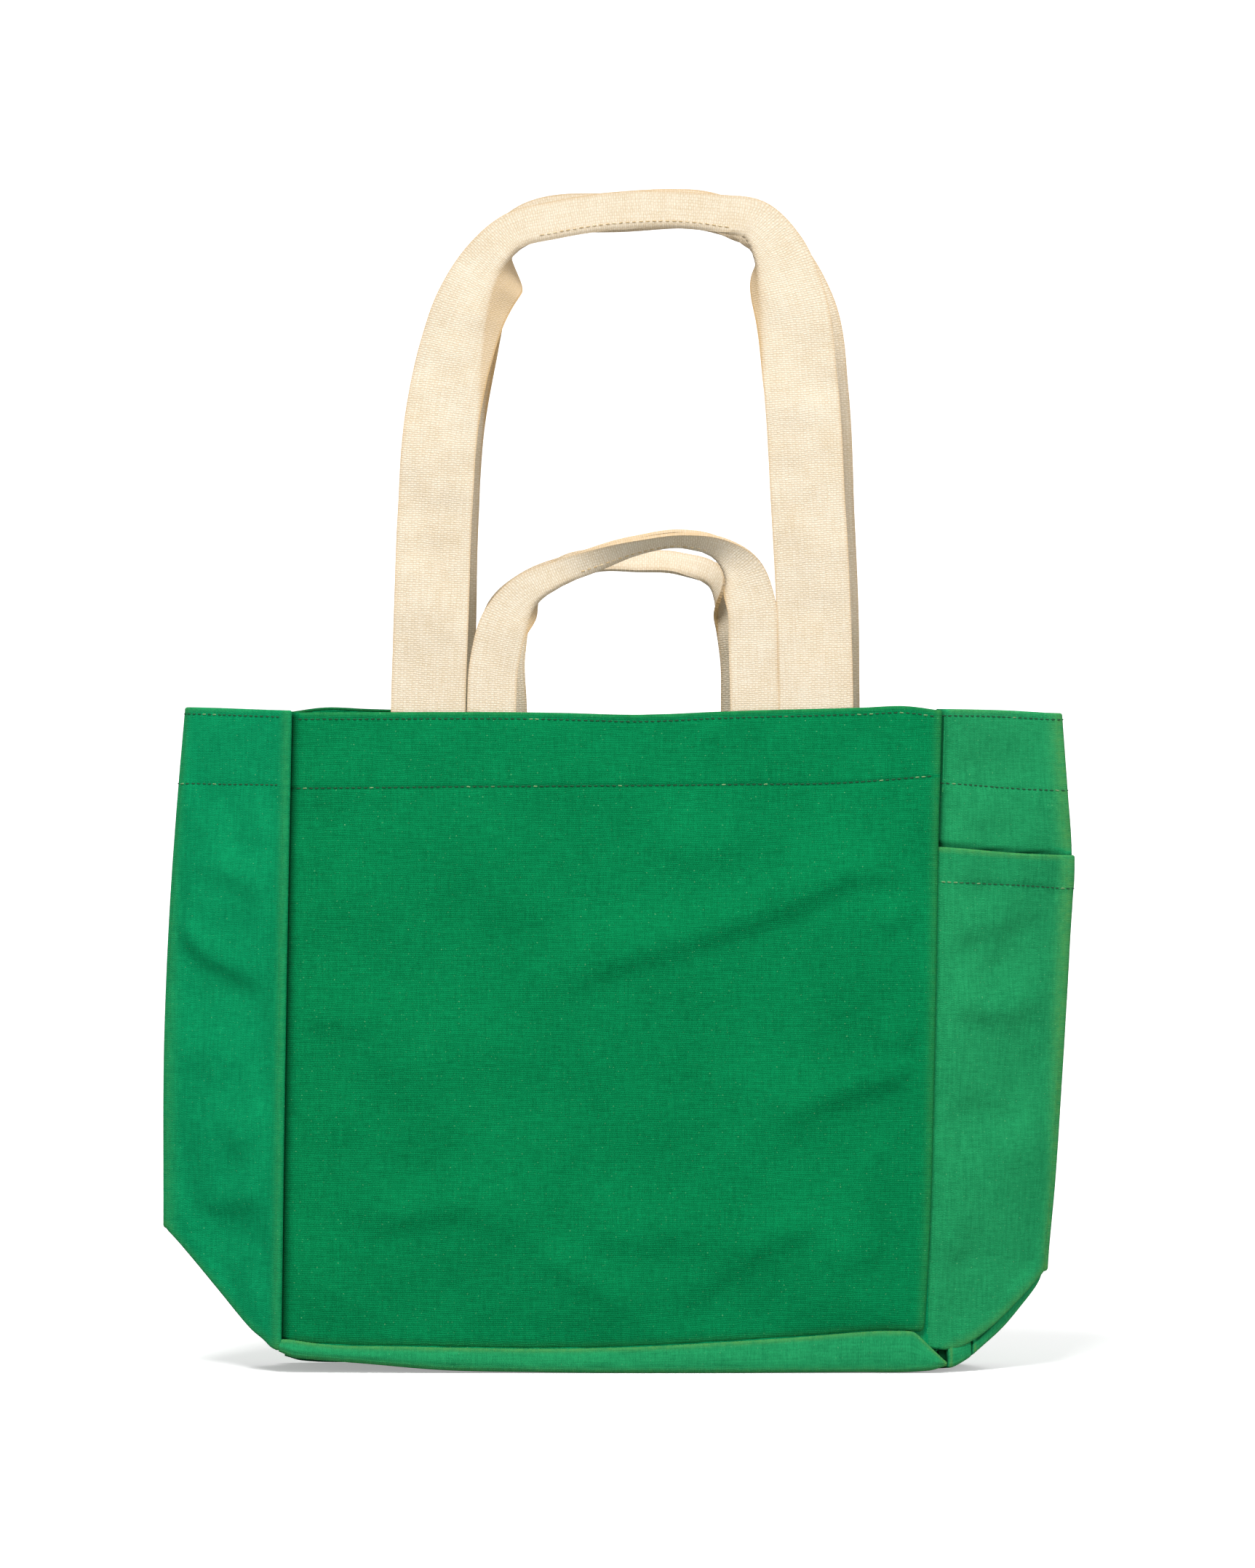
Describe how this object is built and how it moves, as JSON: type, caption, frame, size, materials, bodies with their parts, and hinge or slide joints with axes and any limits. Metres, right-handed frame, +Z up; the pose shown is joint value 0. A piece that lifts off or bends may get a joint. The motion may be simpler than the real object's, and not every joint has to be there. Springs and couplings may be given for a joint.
{
  "type": "garden tool bag",
  "caption": "Open-topped canvas garden tote with folding side gussets, a pleated base, a side pocket, long webbing shoulder straps and short webbing grab handles.",
  "frame": {"origin": "on the floor, at the middle of the base", "axes": "+Z up, the front panel faces -Y, the gusset with the side pocket is on +X"},
  "size_m": [0.4608, 0.0616, 0.6029],
  "materials": {
    "canvas": "woven canvas",
    "webbing": "woven cotton webbing",
    "thread_green": "sewing thread",
    "thread_cream": "sewing thread"
  },
  "bodies": {
    "back_panel": {"back_panel": "canvas", "base_rear_strip": "canvas", "back_facing": "canvas", "back_left_seam_binding": "thread_green", "back_right_seam_binding": "thread_green", "back_base_seam_binding": "thread_green", "back_shoulder_strap_ends": "webbing", "back_grab_handle_ends": "webbing", "back_panel_stitching": "thread_green"},
    "front_panel": {"front_panel": "canvas", "base_front_strip": "canvas", "front_facing": "canvas", "front_left_seam_binding": "thread_green", "front_right_seam_binding": "thread_green", "front_base_seam_binding": "thread_green", "front_shoulder_strap_ends": "webbing", "front_grab_handle_ends": "webbing", "front_panel_stitching": "thread_green"},
    "left_gusset_front": {"left_gusset_front_half": "canvas", "left_gusset_front_facing": "canvas", "left_gusset_front_stitching": "thread_green"},
    "left_front_tuck": {"left_front_corner_tuck": "canvas"},
    "left_gusset_rear": {"left_gusset_rear_half": "canvas", "left_gusset_rear_facing": "canvas", "left_gusset_rear_stitching": "thread_green"},
    "left_rear_tuck": {"left_rear_corner_tuck": "canvas"},
    "right_gusset_front": {"right_gusset_front_half": "canvas", "right_gusset_front_facing": "canvas", "right_gusset_front_stitching": "thread_green", "side_pocket_front_half": "canvas", "side_pocket_front_hem": "canvas", "side_pocket_front_stitching": "thread_green"},
    "right_front_tuck": {"right_front_corner_tuck": "canvas"},
    "right_gusset_rear": {"right_gusset_rear_half": "canvas", "right_gusset_rear_facing": "canvas", "right_gusset_rear_stitching": "thread_green", "side_pocket_rear_half": "canvas", "side_pocket_rear_hem": "canvas", "side_pocket_rear_stitching": "thread_green"},
    "right_rear_tuck": {"right_rear_corner_tuck": "canvas"},
    "base_front": {"base_front_half": "canvas"},
    "base_rear": {"base_rear_half": "canvas"},
    "front_shoulder_strap": {"front_shoulder_strap": "webbing", "front_shoulder_grip_stitching": "thread_cream"},
    "front_grab_handle": {"front_grab_handle": "webbing", "front_handle_grip_stitching": "thread_cream"},
    "back_shoulder_strap": {"back_shoulder_strap": "webbing", "back_shoulder_grip_stitching": "thread_cream"},
    "back_grab_handle": {"back_grab_handle": "webbing", "back_handle_grip_stitching": "thread_cream"}
  },
  "joints": [
    {"name": "bag_opening", "type": "hinge", "parent": "back_panel", "child": "left_gusset_rear", "pos_m": [-0.165, 0.028, 0], "axis": [0, 0, 1], "range_deg": [-11.58, 66.42]},
    {"name": "left_gusset_fold", "type": "hinge", "parent": "left_gusset_rear", "child": "left_gusset_front", "pos_m": [-0.22916, 0, 0], "axis": [0, 0, 1], "range_deg": [-132.85, 23.17]},
    {"name": "front_left_seam", "type": "hinge", "parent": "left_gusset_front", "child": "front_panel", "pos_m": [-0.165, -0.028, 0], "axis": [0, 0, 1], "range_deg": [-11.59, 66.43]},
    {"name": "back_right_seam", "type": "hinge", "parent": "back_panel", "child": "right_gusset_rear", "pos_m": [0.165, 0.028, 0], "axis": [0, 0, 1], "range_deg": [-66.43, 11.59]},
    {"name": "right_gusset_fold", "type": "hinge", "parent": "right_gusset_rear", "child": "right_gusset_front", "pos_m": [0.22916, 0, 0], "axis": [0, 0, 1], "range_deg": [-23.17, 132.85]},
    {"name": "back_base_fold", "type": "hinge", "parent": "back_panel", "child": "base_rear", "pos_m": [0, 0.028, 0.003], "axis": [1, 0, 0], "range_deg": [-11.59, 66.43]},
    {"name": "base_pleat_ridge", "type": "hinge", "parent": "base_rear", "child": "base_front", "pos_m": [0, 0, 0.06716], "axis": [1, 0, 0], "range_deg": [-132.85, 23.17]},
    {"name": "left_front_crease", "type": "hinge", "parent": "left_gusset_front", "child": "left_front_tuck", "pos_m": [-0.165, -0.028, 0.003], "axis": [-0.6481, 0.2828, 0.7071], "range_deg": [-25.39, 145.58]},
    {"name": "right_front_crease", "type": "hinge", "parent": "right_gusset_front", "child": "right_front_tuck", "pos_m": [0.165, -0.028, 0.003], "axis": [0.6481, 0.2828, 0.7071], "range_deg": [-145.58, 25.39]},
    {"name": "left_rear_crease", "type": "hinge", "parent": "left_gusset_rear", "child": "left_rear_tuck", "pos_m": [-0.165, 0.028, 0.003], "axis": [-0.6481, -0.2828, 0.7071], "range_deg": [-145.58, 25.39]},
    {"name": "right_rear_crease", "type": "hinge", "parent": "right_gusset_rear", "child": "right_rear_tuck", "pos_m": [0.165, 0.028, 0.003], "axis": [0.6481, -0.2828, 0.7071], "range_deg": [-25.39, 145.58]},
    {"name": "front_shoulder_strap_swing", "type": "hinge", "parent": "front_panel", "child": "front_shoulder_strap", "pos_m": [0, -0.0303, 0.3395], "axis": [1, 0, 0], "range_deg": [0, 170]},
    {"name": "front_grab_handle_swing", "type": "hinge", "parent": "front_panel", "child": "front_grab_handle", "pos_m": [0, -0.0303, 0.3395], "axis": [1, 0, 0], "range_deg": [0, 170]},
    {"name": "back_shoulder_strap_swing", "type": "hinge", "parent": "back_panel", "child": "back_shoulder_strap", "pos_m": [0, 0.0303, 0.3395], "axis": [-1, 0, 0], "range_deg": [0, 170]},
    {"name": "back_grab_handle_swing", "type": "hinge", "parent": "back_panel", "child": "back_grab_handle", "pos_m": [0, 0.0303, 0.3395], "axis": [-1, 0, 0], "range_deg": [0, 170]}
  ],
  "couplings": [
    {"joint": "left_gusset_fold", "follows": "bag_opening", "ratio": -2},
    {"joint": "front_left_seam", "follows": "bag_opening", "ratio": 1},
    {"joint": "back_right_seam", "follows": "bag_opening", "ratio": -1},
    {"joint": "right_gusset_fold", "follows": "bag_opening", "ratio": 2},
    {"joint": "back_base_fold", "follows": "bag_opening", "ratio": 1},
    {"joint": "base_pleat_ridge", "follows": "bag_opening", "ratio": -2},
    {"joint": "left_front_crease", "follows": "bag_opening", "ratio": 2.1917},
    {"joint": "right_front_crease", "follows": "bag_opening", "ratio": -2.1917},
    {"joint": "left_rear_crease", "follows": "bag_opening", "ratio": -2.1917},
    {"joint": "right_rear_crease", "follows": "bag_opening", "ratio": 2.1917}
  ]
}
